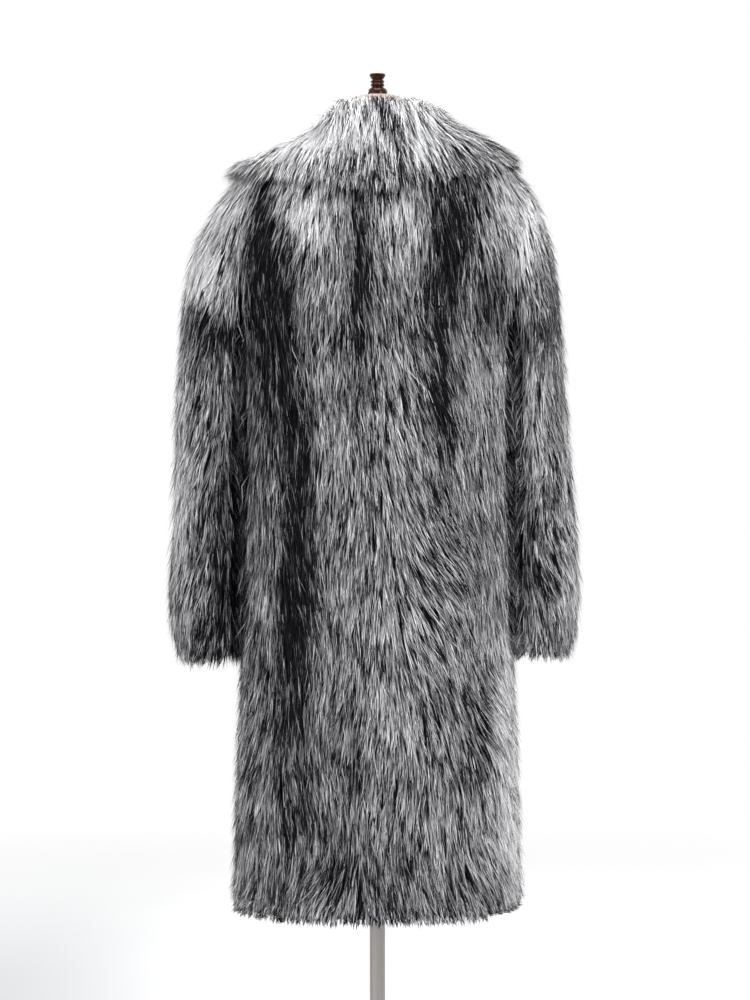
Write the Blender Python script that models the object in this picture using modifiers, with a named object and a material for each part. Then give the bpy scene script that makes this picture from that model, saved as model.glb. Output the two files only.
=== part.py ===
# Faux fur coat with a large turned-down collar, on a limbless dress form.
# Metres. The origin is the middle of the base plate's underside and +Z is up. The coat faces -Y,
# and the wearer's left is +X. Each fur piece is a wall: cloth and laid pile together.
import math

import bpy
import bmesh
import numpy as np
from mathutils import Vector

# The coat
FUR_WALL = 0.012  # cloth with its pile laid down
SHOULDER_SHARE = 0.7  # of the wall's depth, at the shoulder tip
SLEEVE_WALL = 0.012
COLLAR_WALL = 0.014
SEAM_GAP = 0.0003
HEM_Z = 0.36
ARM_X = 0.190  # each armhole lies in the plane x = +-ARM_X
ARMPIT_Z = 1.155
SHOULDER_Z = 1.391
ARMHOLE_HALF_DEPTH = 0.073
SQUARENESS = 2.3  # exponent of the superellipse sections
QUARTER = 11  # columns of points in a quarter of a ring
ARMHOLE_STEPS = 10  # rings from the armpit to the shoulder tip

# Outer sections of the body of the coat: height, half width, depth behind and before the side
# seam, how far the ring rises at the back and drops at the front, and how far it leans down to
# the left and up to the right. From the armpit to the shoulder tip the armhole sets the width.
BODY_COLUMNS = ("z", "half_width", "back", "front", "rise", "drop", "lean")
BODY = (
    (HEM_Z, 0.199, 0.150, 0.150, 0.000, 0.000, 0.000),
    (0.56, 0.194, 0.147, 0.148, 0.000, 0.000, 0.000),
    (0.76, 0.1855, 0.141, 0.144, 0.000, 0.000, 0.000),
    (0.96, 0.184, 0.137, 0.142, 0.000, 0.000, 0.000),
    (1.10, 0.185, 0.134, 0.142, 0.000, 0.003, 0.000),
    (ARMPIT_Z, ARM_X, 0.132, 0.142, 0.000, 0.009, 0.000),
    (1.275, ARM_X, 0.130, 0.139, 0.000, 0.042, 0.000),
    (1.335, ARM_X, 0.120, 0.127, 0.000, 0.056, 0.000),
    (SHOULDER_Z, ARM_X, 0.099, 0.100, 0.001, 0.060, 0.000),
    (1.408, 0.156, 0.090, 0.088, 0.002, 0.060, 0.005),
    (1.428, 0.108, 0.078, 0.075, 0.005, 0.060, 0.009),
    (1.434, 0.0905, 0.0735, 0.070, 0.007, 0.060, 0.009),
    (1.441, 0.0835, 0.072, 0.068, 0.009, 0.060, 0.009),
)
SKIRT_RINGS = (HEM_Z, 0.46, 0.56, 0.66, 0.76, 0.86, 0.96, 1.05, 1.115)
SHOULDER_RINGS = (1.3995, 1.408, 1.418, 1.428, 1.434, 1.441)

# Soft vertical troughs in the skirt: angle round the ring (90 is the middle of the back),
# height of the middle, half length, half width in degrees, and depth.
FOLD_COLUMNS = ("angle", "z", "half_length", "half_width", "depth")
FOLDS = (
    (131, 0.60, 0.20, 13, 0.007),
    (112, 0.36, 0.16, 10, 0.005),
    (62, 0.36, 0.24, 12, 0.004),
    (35, 0.48, 0.22, 10, 0.005),
    (212, 0.40, 0.26, 12, 0.006),
    (243, 0.36, 0.30, 11, 0.005),
    (301, 0.38, 0.24, 12, 0.005),
    (330, 0.50, 0.24, 10, 0.006),
)

# Sleeve rings after the armhole, down to the cuff. Each is an ellipse through an outer point,
# whose x differs a little from left to right, and an inner point beside the body.
SLEEVE_COLUMNS = ("outer_z", "left_x", "right_x", "inner_z", "inner_x", "half_depth", "y")
SLEEVE = (
    (1.373, 0.2040, 0.2110, 1.150, 0.1915, 0.076, 0.000),
    (1.338, 0.2275, 0.2265, 1.143, 0.1925, 0.077, -0.001),
    (1.290, 0.2545, 0.2410, 1.134, 0.1930, 0.077, -0.002),
    (1.225, 0.2690, 0.2510, 1.120, 0.1930, 0.076, -0.003),
    (1.150, 0.2750, 0.2570, 1.092, 0.1925, 0.075, -0.005),
    (1.060, 0.2820, 0.2645, 1.035, 0.1920, 0.074, -0.007),
    (0.965, 0.2840, 0.2720, 0.955, 0.1915, 0.073, -0.009),
    (0.870, 0.2870, 0.2785, 0.866, 0.1910, 0.073, -0.011),
    (0.795, 0.2920, 0.2815, 0.793, 0.1905, 0.074, -0.013),
    (0.742, 0.2870, 0.2775, 0.742, 0.1905, 0.073, -0.014),
    (0.720, 0.2790, 0.2700, 0.720, 0.1930, 0.069, -0.014),
)

# Collar, by angle round the neck: height of the stand on the left and on the right, and length of
# the fall from the neck seam.
COLLAR_COLUMNS = ("angle", "stand_left", "stand_right", "fall")
COLLAR = (
    (-90, 0.005, 0.005, 0.150),
    (-65, 0.005, 0.006, 0.128),
    (-40, 0.006, 0.008, 0.108),
    (-15, 0.006, 0.008, 0.104),
    (0, 0.007, 0.009, 0.106),
    (25, 0.011, 0.012, 0.098),
    (55, 0.018, 0.018, 0.089),
    (90, 0.0225, 0.0225, 0.079),
)
COLLAR_LIFT = 0.0030  # between the fall and the coat under it
COLLAR_SLIT = 0.002  # between the stand and the fall
COLLAR_SPREAD = 24  # degrees by which the front ends swing apart on their way down
COLLAR_STEPS = 4  # points down the fall
FOLD_STEPS = 4  # faces over the fold
FALL_START = 0.035  # where the fall first meets the coat, from the neck seam
EDGE_THINNING = 0.7  # the fall's edge, as a share of its thickness

# The dress form, below the shoulder rings on which the coat rests
FORM_CLEARANCE = 0.0004
FORM_COLUMNS = ("z", "half_width", "back", "front", "drop")
FORM = (
    (0.800, 0.152, 0.106, 0.100, 0.000),
    (0.812, 0.159, 0.112, 0.106, 0.000),
    (0.880, 0.163, 0.116, 0.110, 0.000),
    (0.960, 0.150, 0.108, 0.104, 0.000),
    (1.045, 0.136, 0.096, 0.100, 0.000),
    (1.120, 0.143, 0.096, 0.108, 0.002),
    (1.200, 0.158, 0.100, 0.118, 0.015),
    (1.270, 0.169, 0.102, 0.118, 0.035),
    (1.325, 0.174, 0.098, 0.106, 0.050),
    (1.362, 0.173, 0.090, 0.092, 0.057),
    (1.383, 0.164, 0.084, 0.082, 0.060),
)
FORM_SHOULDER_RINGS = (1.408, 1.418, 1.428)
FORM_NECK_RINGS = ((1.434, 0.003), (1.441, 0.004))  # coat ring, clearance under it
NECK_COLUMNS = ("z", "half_width", "back", "front", "drop")
NECK = (
    (1.456, 0.0570, 0.0520, 0.0490, 0.025),
    (1.4650, 0.0540, 0.0530, 0.0530, 0.000),
)
NECK_CAP_RADIUS = 0.0540
NECK_CAP_Z = (1.4653, 1.5014)
NECK_CAP_FLAT = 0.0155  # radius of the flat under the finial
NECK_CAP_RIM = 0.004  # upright edge below the dome
NECK_CAP_STEPS = 7

# Turned parts: the finial as radius and height from its foot, top to bottom
FINIAL = (
    (0.0000, 0.0302),
    (0.0112, 0.0300),
    (0.0120, 0.0288),
    (0.0104, 0.0258),
    (0.0082, 0.0224),
    (0.0078, 0.0212),
    (0.0098, 0.0200),
    (0.0101, 0.0186),
    (0.0084, 0.0170),
    (0.0084, 0.0162),
    (0.0101, 0.0146),
    (0.0098, 0.0130),
    (0.0080, 0.0116),
    (0.0086, 0.0104),
    (0.0116, 0.0068),
    (0.0146, 0.0038),
    (0.0150, 0.0012),
    (0.0144, 0.0000),
    (0.0000, 0.0000),
)
POLE_RADIUS = 0.011
POLE_INSERT = 0.060  # how far the pole goes up into the form
BASE_RADIUS = 0.180
BASE_THICKNESS = 0.008
SOCKET_HEIGHT = 0.035
SOCKET_RADIUS = 0.019
FIT = 0.0003  # clearance of hard pieces


def row_at(table, columns, key, value):
    """The table read at a value of its first column, between its rows."""
    where = columns.index(key)
    keys = [row[where] for row in table]
    return {
        name: float(np.interp(value, keys, [row[i] for row in table]))
        for i, name in enumerate(columns)
    }


def signed_power(value, power):
    return math.copysign(abs(value) ** power, value)


def armhole_level(step):
    """Height and half depth of the armhole at one of its rings."""
    turn = math.pi * step / ARMHOLE_STEPS
    middle = (ARMPIT_Z + SHOULDER_Z) / 2
    half = (SHOULDER_Z - ARMPIT_Z) / 2
    return middle - half * math.cos(turn), ARMHOLE_HALF_DEPTH * max(math.sin(turn), 0.0)


def body_rings():
    """Every ring of the coat's body, hem to neck: its section and its armhole half depth."""
    rings = [(row_at(BODY, BODY_COLUMNS, "z", z), 0.0) for z in SKIRT_RINGS]
    for step in range(ARMHOLE_STEPS + 1):
        z, opening = armhole_level(step)
        rings.append((row_at(BODY, BODY_COLUMNS, "z", z), opening))
    rings += [(row_at(BODY, BODY_COLUMNS, "z", z), 0.0) for z in SHOULDER_RINGS]
    return rings


RINGS = body_rings()
FIRST_ARM_RING = len(SKIRT_RINGS)
LAST_ARM_RING = FIRST_ARM_RING + ARMHOLE_STEPS
NECK_RING = len(RINGS) - 1


def fold_depth(angle, z):
    """How far the soft troughs sink the skirt here."""
    sunk = 0.0
    for row in FOLDS:
        fold = dict(zip(FOLD_COLUMNS, row))
        across = ((angle - fold["angle"] + 180) % 360 - 180) / fold["half_width"]
        along = (z - fold["z"]) / fold["half_length"]
        sunk += fold["depth"] * math.exp(-across * across) * math.exp(-along * along)
    return sunk


def edge_angle(ring, behind):
    """The angle at which a ring meets the armhole, in degrees from the side."""
    section, opening = RINGS[ring]
    depth = section["back"] if behind else section["front"]
    return math.degrees(math.asin((opening / depth) ** (SQUARENESS / 2)))


def section_point(section, half_width, angle):
    """A point of a superellipse section; 0 is the left side, 90 the back."""
    turn = math.radians(angle)
    behind = math.sin(turn) >= 0
    depth = section["back"] if behind else section["front"]
    x = half_width * signed_power(math.cos(turn), 2 / SQUARENESS)
    y = depth * signed_power(math.sin(turn), 2 / SQUARENESS)
    share = abs(y) / depth
    z = section["z"] + (section.get("rise", 0.0) * share**2 if behind else 0.0)
    z -= 0.0 if behind else section["drop"] * share**2.5
    z -= section.get("lean", 0.0) * math.cos(turn) * abs(math.cos(turn))
    return Vector((x, y, z))


def plain_point(ring, angle):
    """A point of the coat's outer surface before folds, past the armhole too."""
    section, opening = RINGS[ring]
    half_width = section["half_width"]
    if opening > 0:
        turn = math.radians(edge_angle(ring, math.sin(math.radians(angle)) >= 0))
        half_width = ARM_X / math.cos(turn) ** (2 / SQUARENESS)
    return section_point(section, half_width, angle)


def outward(ring, angle):
    """Unit normal of the coat's outer surface. At the neck edge it is level."""
    around = plain_point(ring, angle + 1) - plain_point(ring, angle - 1)
    low, high = max(ring - 1, 0), min(ring + 1, NECK_RING)
    up = plain_point(high, angle) - plain_point(low, angle)
    if ring == NECK_RING:
        up = Vector((0, 0, 1))
    return around.cross(up).normalized()


def coat_point(ring, angle, depth=0.0):
    """A point at a depth under the coat's outer surface, folds included."""
    normal = outward(ring, angle)
    z = RINGS[ring][0]["z"]
    return plain_point(ring, angle) - normal * (depth + fold_depth(angle, z))


def armhole_point(step, behind, depth=0.0):
    """A point of the left armhole's edge, moved in by a depth within the armhole's plane."""
    ring = FIRST_ARM_RING + step
    side = 1 if behind else -1
    angle = edge_angle(ring, behind) * side
    point = plain_point(ring, angle)
    turn = math.pi * step / ARMHOLE_STEPS
    half = (SHOULDER_Z - ARMPIT_Z) / 2
    across = side * math.sin(turn) / ARMHOLE_HALF_DEPTH
    along = -math.cos(turn) / half
    away = Vector((0, across, along)).normalized()
    return Vector((ARM_X, point.y, point.z)) - away * depth


def ring_angles(ring, behind):
    """Column angles of a panel on the left half, from the side to the middle."""
    start = edge_angle(ring, behind)
    steps = [start + (90 - start) * i / QUARTER for i in range(QUARTER + 1)]
    return steps if behind else [-angle for angle in steps]


def wall_share(ring):
    """The wall is thinner where it turns over the shoulder tip."""
    return SHOULDER_SHARE if LAST_ARM_RING - 1 <= ring <= LAST_ARM_RING else 1.0


def mirrored(point):
    return Vector((-point.x, point.y, point.z))


def half_row(ring, behind, depth, left):
    """Half a ring of a panel, from its side seam or armhole to the middle."""
    angles = ring_angles(ring, behind)
    if not left:
        angles = [180 - angle for angle in angles]
    row = [coat_point(ring, angle, depth * wall_share(ring)) for angle in angles]
    if FIRST_ARM_RING <= ring <= LAST_ARM_RING:
        edge = armhole_point(ring - FIRST_ARM_RING, behind, depth)
        row[0] = edge if left else mirrored(edge)
    row[0].y += SEAM_GAP / 2 * (1 if behind else -1)
    return row


def new_object(name, mesh, colour, roughness, metallic=0.0):
    """Puts a mesh in the coat's collection with a material of its own."""
    material = bpy.data.materials.new(name)
    material.use_nodes = True
    shader = material.node_tree.nodes["Principled BSDF"]
    shader.inputs["Base Color"].default_value = (*colour, 1)
    shader.inputs["Roughness"].default_value = roughness
    shader.inputs["Metallic"].default_value = metallic
    mesh.materials.clear()
    mesh.materials.append(material)
    made = bpy.data.objects.new(name, mesh)
    PARTS.objects.link(made)
    return made


def mesh_from(name, points, faces, sharp_over=40):
    """A closed mesh with its faces pointing out, shaded smooth."""
    mesh = bpy.data.meshes.new(name)
    mesh.from_pydata([tuple(p) for p in points], [], faces)
    work = bmesh.new()
    work.from_mesh(mesh)
    bmesh.ops.recalc_face_normals(work, faces=work.faces)
    work.to_mesh(mesh)
    work.free()
    mesh.shade_smooth()
    mesh.set_sharp_from_angle(angle=math.radians(sharp_over))
    return mesh


def split(a, b, c, d):
    """A quad as two triangles, always along the same diagonal."""
    return [(a, b, c), (a, c, d)]


def wall_mesh(name, outer, inner, closed=False):
    """A wall between two grids of points, with its edges filled. A closed wall runs round."""
    rows, columns = len(outer), len(outer[0])
    points = [p for row in outer for p in row] + [p for row in inner for p in row]
    below = rows * columns
    spans = columns if closed else columns - 1
    faces = []
    for i in range(rows - 1):
        for j in range(spans):
            a, b = i * columns + j, i * columns + (j + 1) % columns
            faces += split(a, b, b + columns, a + columns)
            faces += split(*(n + below for n in (a, b, b + columns, a + columns)))
    for i in (0, rows - 1):
        for j in range(spans):
            a, b = i * columns + j, i * columns + (j + 1) % columns
            faces += split(a, b, b + below, a + below)
    if not closed:
        for j in (0, columns - 1):
            for i in range(rows - 1):
                a, b = i * columns + j, (i + 1) * columns + j
                faces += split(a, b, b + below, a + below)
    return mesh_from(name, points, faces)


def build_back():
    """The back: one panel from side seam to side seam."""

    def grid(depth):
        rows = []
        for ring in range(len(RINGS)):
            left = half_row(ring, True, depth, True)
            right = half_row(ring, True, depth, False)
            rows.append(left + right[-2::-1])
        return rows

    new_object("coat_back", wall_mesh("coat_back", grid(0), grid(FUR_WALL)), (0.20, 0.20, 0.21), 0.8)


def build_front(left):
    """One front, from the middle to its side seam."""

    def grid(depth):
        rows = []
        for ring in range(len(RINGS)):
            row = half_row(ring, False, depth, left)
            row[-1].x = SEAM_GAP / 2 * (1 if left else -1)
            rows.append(row[::-1] if left else row)
        return rows

    name = "coat_front_left" if left else "coat_front_right"
    new_object(name, wall_mesh(name, grid(0), grid(FUR_WALL)), (0.22, 0.22, 0.23), 0.8)


def armhole_loop(depth):
    """The left armhole, from the armpit up behind and down before, beside the body."""
    behind = [armhole_point(step, True, depth) for step in range(ARMHOLE_STEPS + 1)]
    before = [armhole_point(step, False, depth) for step in range(ARMHOLE_STEPS - 1, 0, -1)]
    return [p + Vector((SEAM_GAP, 0, 0)) for p in behind + before]


def build_sleeve(left):
    """One sleeve: an open tube from the armhole to the cuff."""

    def ring(row, depth):
        sizes = dict(zip(SLEEVE_COLUMNS, row))
        outer = Vector((sizes["left_x" if left else "right_x"], 0, sizes["outer_z"]))
        inner = Vector((sizes["inner_x"], 0, sizes["inner_z"]))
        middle = (outer + inner) / 2
        half = (outer - inner) / 2
        half *= (half.length - depth) / half.length
        points = []
        for i in range(2 * ARMHOLE_STEPS):
            turn = math.pi * i / ARMHOLE_STEPS
            y = sizes["y"] + (sizes["half_depth"] - depth) * math.sin(turn)
            points.append(middle - half * math.cos(turn) + Vector((0, y, 0)))
        return points

    def grid(armhole_depth, depth):
        rows = [armhole_loop(armhole_depth)] + [ring(row, depth) for row in SLEEVE]
        return rows if left else [[mirrored(point) for point in row] for row in rows]

    name = "sleeve_left" if left else "sleeve_right"
    mesh = wall_mesh(name, grid(0, 0), grid(FUR_WALL, SLEEVE_WALL), closed=True)
    new_object(name, mesh, (0.18, 0.18, 0.19), 0.8)


def fall_path(angle, length):
    """Points and normals down the coat from the neck, at even steps along the fall."""
    front = max(0.0, math.sin(math.radians(-angle))) ** 3
    away = 1 if math.cos(math.radians(angle)) >= 0 else -1
    trail, runs = [], []
    for ring in range(NECK_RING, FIRST_ARM_RING + 2, -1):
        for part in (0.0, 0.25, 0.5, 0.75):
            run = runs[-1] if runs else 0.0
            turned = angle + away * COLLAR_SPREAD * front * min(run / length, 1.0)
            point = coat_point(ring, turned).lerp(coat_point(ring - 1, turned), part)
            normal = outward(ring, turned).lerp(outward(ring - 1, turned), part)
            if trail:
                run += (point - trail[-1][0]).length
            trail.append((point, normal))
            runs.append(run)
    path = []
    for step in range(COLLAR_STEPS):
        along = FALL_START + (length - FALL_START) * step / (COLLAR_STEPS - 1)
        place = [
            Vector([float(np.interp(along, runs, [pair[k][i] for pair in trail])) for i in range(3)])
            for k in (0, 1)
        ]
        path.append((place[0], place[1].normalized()))
    return path


def collar_section(angle):
    """Matching points under and over the collar: up the stand, over the fold, down the fall."""
    front_angle = angle if angle <= 90 else 180 - angle
    sizes = row_at(COLLAR, COLLAR_COLUMNS, "angle", front_angle)
    stand = sizes["stand_left" if angle <= 90 else "stand_right"]
    up = Vector((0, 0, 1))
    seam = coat_point(NECK_RING, angle) + up * SEAM_GAP
    out = outward(NECK_RING, angle)
    path = fall_path(angle, sizes["fall"])
    half = COLLAR_SLIT / 2
    reach = half + (COLLAR_WALL + FUR_WALL) / 2
    shift = half + (COLLAR_WALL - FUR_WALL) / 2
    under, over = [seam], [seam - out * FUR_WALL]
    for i in range(FOLD_STEPS, -1, -1):
        turn = math.pi * i / FOLD_STEPS
        across, rise = out * math.cos(turn), up * math.sin(turn)
        under.append(seam + up * stand + out * half + across * half + rise * half)
        over.append(seam + up * stand + out * shift + across * reach + rise * COLLAR_WALL)
    under.append(seam + out * COLLAR_SLIT)
    thick = [COLLAR_WALL] * (COLLAR_STEPS - 1) + [COLLAR_WALL * EDGE_THINNING]
    top = [point + normal * (COLLAR_LIFT + t) for (point, normal), t in zip(path, thick)]
    over.append(over[-1].lerp(top[0], 0.5))
    return under + [point + normal * COLLAR_LIFT for point, normal in path], over + top


def build_collar():
    """The collar, one band round the neck with its two ends at the middle of the front."""
    sections = [collar_section(-90 + 90 / QUARTER * i) for i in range(4 * QUARTER + 1)]
    for section, side in ((sections[0], 1), (sections[-1], -1)):
        for point in section[0] + section[1]:
            point.x = side * max(side * point.x, SEAM_GAP)
    under = list(zip(*(section[0] for section in sections)))
    over = list(zip(*(section[1] for section in sections)))
    new_object("collar", wall_mesh("collar", under, over), (0.42, 0.42, 0.43), 0.8)


def build_torso():
    """The form: hips, waist, chest, and shoulders just under the coat's, up to the neck."""
    angles = [90 * i / QUARTER for i in range(4 * QUARTER)]
    rows = []
    for row in FORM:
        section = dict(zip(FORM_COLUMNS, row))
        rows.append([section_point(section, section["half_width"], a) for a in angles])
    heights = [section["z"] for section, _ in RINGS]
    under = [(z, FORM_CLEARANCE) for z in FORM_SHOULDER_RINGS] + list(FORM_NECK_RINGS)
    for z, clearance in under:
        ring = heights.index(z)
        rows.append([coat_point(ring, a, FUR_WALL + clearance) for a in angles])
    for row in NECK:
        section = dict(zip(NECK_COLUMNS, row))
        rows.append([section_point(section, section["half_width"], a) for a in angles])
    columns = len(angles)
    points = [p for row in rows for p in row]
    faces = [tuple(range(columns)), tuple(range(len(points) - columns, len(points)))]
    for i in range(len(rows) - 1):
        for j in range(columns):
            a, b = i * columns + j, i * columns + (j + 1) % columns
            faces += split(a, b, b + columns, a + columns)
    torso = new_object("form_torso", mesh_from("form_torso", points, faces), (0.55, 0.44, 0.36), 0.9)
    bottom = FORM[0][0]
    bpy.ops.mesh.primitive_cylinder_add(
        vertices=24, radius=POLE_RADIUS + FIT, depth=2 * (POLE_INSERT + FIT), location=(0, 0, bottom)
    )
    hole = bpy.context.object
    hole.name = "pole_hole"
    hole.hide_render = True
    hole.display_type = "WIRE"
    for collection in list(hole.users_collection):
        collection.objects.unlink(hole)
    CUTTERS.objects.link(hole)
    cut = torso.modifiers.new("pole_hole", "BOOLEAN")
    cut.operation = "DIFFERENCE"
    cut.object = hole


def turned(name, profile, z, steps, colour, roughness, metallic=0.0, ring=False):
    """A turned piece from a profile of radius and height, top to bottom, or a closed ring."""
    mesh = bpy.data.meshes.new(name)
    edges = [(i, i + 1) for i in range(len(profile) - 1)]
    edges += [(len(profile) - 1, 0)] if ring else []
    mesh.from_pydata([(r, 0, h) for r, h in profile], edges, [])
    made = new_object(name, mesh, colour, roughness, metallic)
    made.location = (0, 0, z)
    screw = made.modifiers.new("turn", "SCREW")
    screw.steps = screw.render_steps = steps
    screw.use_merge_vertices = True
    screw.merge_threshold = 0.0001
    screw.use_smooth_shade = True


def build_stand():
    """Neck cap, finial, pole, and the base with the socket that holds the pole."""
    low, high = NECK_CAP_Z
    tall = high - low
    cap = [(0, tall)]
    for i in range(NECK_CAP_STEPS + 1):
        out = i / NECK_CAP_STEPS
        radius = NECK_CAP_FLAT + (NECK_CAP_RADIUS - NECK_CAP_FLAT) * out
        cap.append((radius, tall - (tall - NECK_CAP_RIM) * out**1.2))
    cap += [(NECK_CAP_RADIUS, 0), (0, 0)]
    turned("form_neck_cap", cap, low, 24, (0.72, 0.56, 0.46), 0.9)
    turned("form_finial", FINIAL, high + FIT, 20, (0.08, 0.03, 0.02), 0.25)
    top = FORM[0][0] + POLE_INSERT - FIT
    foot = BASE_THICKNESS + FIT
    pole = [(0, top - foot), (POLE_RADIUS, top - foot), (POLE_RADIUS, 0), (0, 0)]
    turned("stand_pole", pole, foot, 24, (0.33, 0.31, 0.30), 0.3, 1.0)
    bore, lip = POLE_RADIUS + FIT, 0.003
    socket = [(bore, SOCKET_HEIGHT), (SOCKET_RADIUS - lip, SOCKET_HEIGHT)]
    socket += [(SOCKET_RADIUS, SOCKET_HEIGHT - lip), (SOCKET_RADIUS, 0), (bore, 0)]
    turned("stand_socket", socket, foot, 24, (0.33, 0.31, 0.30), 0.3, 1.0, ring=True)
    edge = 0.002
    base = [(0, BASE_THICKNESS), (BASE_RADIUS - edge, BASE_THICKNESS)]
    base += [(BASE_RADIUS, BASE_THICKNESS - edge), (BASE_RADIUS, edge)]
    base += [(BASE_RADIUS - edge, 0), (0, 0)]
    turned("stand_base", base, 0, 56, (0.33, 0.31, 0.30), 0.35, 1.0)


for old in list(bpy.data.objects):
    bpy.data.objects.remove(old)
PARTS = bpy.data.collections.new("faux_fur_coat")
CUTTERS = bpy.data.collections.new("cutters")
for group in (PARTS, CUTTERS):
    bpy.context.scene.collection.children.link(group)
build_back()
for on_left in (True, False):
    build_front(on_left)
    build_sleeve(on_left)
build_collar()
build_torso()
build_stand()
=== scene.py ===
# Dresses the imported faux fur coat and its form: cloth shells, strands of fur, dress form, stand, floor
# and light. The wearer faces -Y and the wearer's left is +X. Metres throughout.
import math

import bmesh
import bpy
import numpy as np
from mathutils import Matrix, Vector
from mathutils.bvhtree import BVHTree
from mathutils.kdtree import KDTree


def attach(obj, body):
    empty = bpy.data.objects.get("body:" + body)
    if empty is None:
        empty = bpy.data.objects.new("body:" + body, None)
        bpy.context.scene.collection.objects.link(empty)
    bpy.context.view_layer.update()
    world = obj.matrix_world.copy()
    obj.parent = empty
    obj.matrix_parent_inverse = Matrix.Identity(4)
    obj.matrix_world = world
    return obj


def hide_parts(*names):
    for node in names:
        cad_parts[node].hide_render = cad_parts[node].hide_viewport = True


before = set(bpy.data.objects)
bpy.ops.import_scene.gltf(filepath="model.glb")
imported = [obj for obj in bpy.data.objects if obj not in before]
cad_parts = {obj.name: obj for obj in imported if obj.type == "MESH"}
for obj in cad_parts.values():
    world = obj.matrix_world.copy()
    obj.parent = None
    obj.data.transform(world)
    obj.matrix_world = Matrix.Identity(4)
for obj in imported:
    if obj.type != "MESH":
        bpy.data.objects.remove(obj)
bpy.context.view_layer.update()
scene = bpy.context.scene
scene.view_settings.view_transform = "Standard"
print("frame loaded:", len(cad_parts), "nodes")


# helpers for materials and pieces

def newMaterial(name):
    material = bpy.data.materials.new(name)
    material.use_nodes = True
    tree = material.node_tree
    return material, tree, tree.nodes["Principled BSDF"]


def addNode(tree, kind, **settings):
    node = tree.nodes.new("ShaderNode" + kind)
    for key, value in settings.items():
        if key in node.inputs:
            node.inputs[key].default_value = value
        else:
            setattr(node, key, value)
    return node


def addPlaced(tree, kind, mapping=None, **settings):
    # a node that reads object coordinates, stretched or turned by a mapping
    place = addNode(tree, "TexCoord").outputs["Object"]
    if mapping:
        stretch = addNode(tree, "Mapping", **mapping)
        tree.links.new(place, stretch.inputs["Vector"])
        place = stretch.outputs["Vector"]
    node = addNode(tree, kind, **settings)
    tree.links.new(place, node.inputs["Vector"])
    return node


def finishShader(tree, shader, colour, settings):
    tree.links.new(colour, shader.inputs["Base Color"])
    for key, value in settings.items():
        shader.inputs[key].default_value = value


def addRamp(tree, stops, factor):
    ramp = addNode(tree, "ValToRGB")
    band = ramp.color_ramp
    band.elements[0].position, band.elements[0].color = stops[0][0], (*stops[0][1], 1)
    band.elements[1].position, band.elements[1].color = stops[-1][0], (*stops[-1][1], 1)
    for place, colour in stops[1:-1]:
        band.elements.new(place).color = (*colour, 1)
    tree.links.new(factor, ramp.inputs["Fac"])
    return ramp.outputs["Color"]


def addMix(tree, factor, first, second, blend="MIX"):
    mix = addNode(tree, "Mix", data_type="RGBA", blend_type=blend)
    for socket, value in ((mix.inputs["Factor"], factor), (mix.inputs[6], first), (mix.inputs[7], second)):
        if hasattr(value, "is_output"):
            tree.links.new(value, socket)
        else:
            socket.default_value = value
    return mix.outputs[2]


def addStep(tree, value, low, high):
    step = addNode(tree, "MapRange", interpolation_type="SMOOTHSTEP")
    step.inputs["From Min"].default_value, step.inputs["From Max"].default_value = low, high
    tree.links.new(value, step.inputs["Value"])
    return step.outputs["Result"]


def addMath(tree, operation, *values):
    node = addNode(tree, "Math", operation=operation)
    for i, value in enumerate(values):
        tree.links.new(value, node.inputs[i])
    return node.outputs["Value"]


def mixShaders(tree, factor, first, second):
    mix = addNode(tree, "MixShader")
    for i, value in enumerate((factor, first, second)):
        tree.links.new(value, mix.inputs[i])
    return mix.outputs["Shader"]


def addBump(tree, height, strength, distance, shader):
    bump = addNode(tree, "Bump", Strength=strength, Distance=distance)
    tree.links.new(height, bump.inputs["Height"])
    tree.links.new(bump.outputs["Normal"], shader.inputs["Normal"])


def grainMaterial(name, scale, stops, settings, bump, **noise):
    # one stretched noise for colour and bump
    material, tree, shader = newMaterial(name)
    grain = addPlaced(tree, "TexNoise", {"Scale": scale}, Scale=1.0, **noise)
    finishShader(tree, shader, addRamp(tree, stops, grain.outputs["Fac"]), settings)
    addBump(tree, grain.outputs["Fac"], *bump, shader)
    return material


def addPiece(name, mesh, materials, replaces=()):
    piece = bpy.data.objects.new(name, mesh)
    scene.collection.objects.link(piece)
    mesh.materials.clear()
    for material in materials:
        mesh.materials.append(material)
    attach(piece, "root")
    if replaces:
        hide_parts(*replaces)
    return piece


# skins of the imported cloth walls

wall = {
    "armhole": 0.1902,  # each armhole lies in a plane this far to the side
    "facing": 0.9,  # least sideways part of its faces' normals
    "nearness": 0.0006,
    "rimAngle": 58,  # faces that turn more than this are a wall's rim
    "seam": 2e-5,  # corners this close are one
}
bodyNodes = ["coat_back", "coat_front_left", "coat_front_right"]
sleeveNodes = ["sleeve_left", "sleeve_right"]
cloths = {
    # slot, shell's name, fur's name, flat size of the shown cloth, its area
    "coat_back": ("fur_body", "backCloth", "backFur", (0.60, 1.10), 0.555),
    "coat_front_left": ("fur_body", "leftFrontCloth", "leftFrontFur", (0.34, 1.08), 0.274),
    "coat_front_right": ("fur_body", "rightFrontCloth", "rightFrontFur", (0.34, 1.08), 0.274),
    "sleeve_left": ("fur_sleeves", "leftSleeveCloth", "leftSleeveFur", (0.42, 0.64), 0.215),
    "sleeve_right": ("fur_sleeves", "rightSleeveCloth", "rightSleeveFur", (0.42, 0.64), 0.205),
    "collar": ("fur_collar", "collarCloth", "collarFur", (0.66, 0.24), 0.108),
}


def onArmhole(face):
    inPlane = all(abs(abs(v.co.x) - wall["armhole"]) < wall["nearness"] for v in face.verts)
    return abs(face.normal.x) > wall["facing"] and inPlane


def wallOf(nodeName):
    work = bmesh.new()
    work.from_mesh(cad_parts[nodeName].data)
    bmesh.ops.remove_doubles(work, verts=work.verts, dist=wall["seam"])
    work.faces.ensure_lookup_table()
    return work


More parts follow.
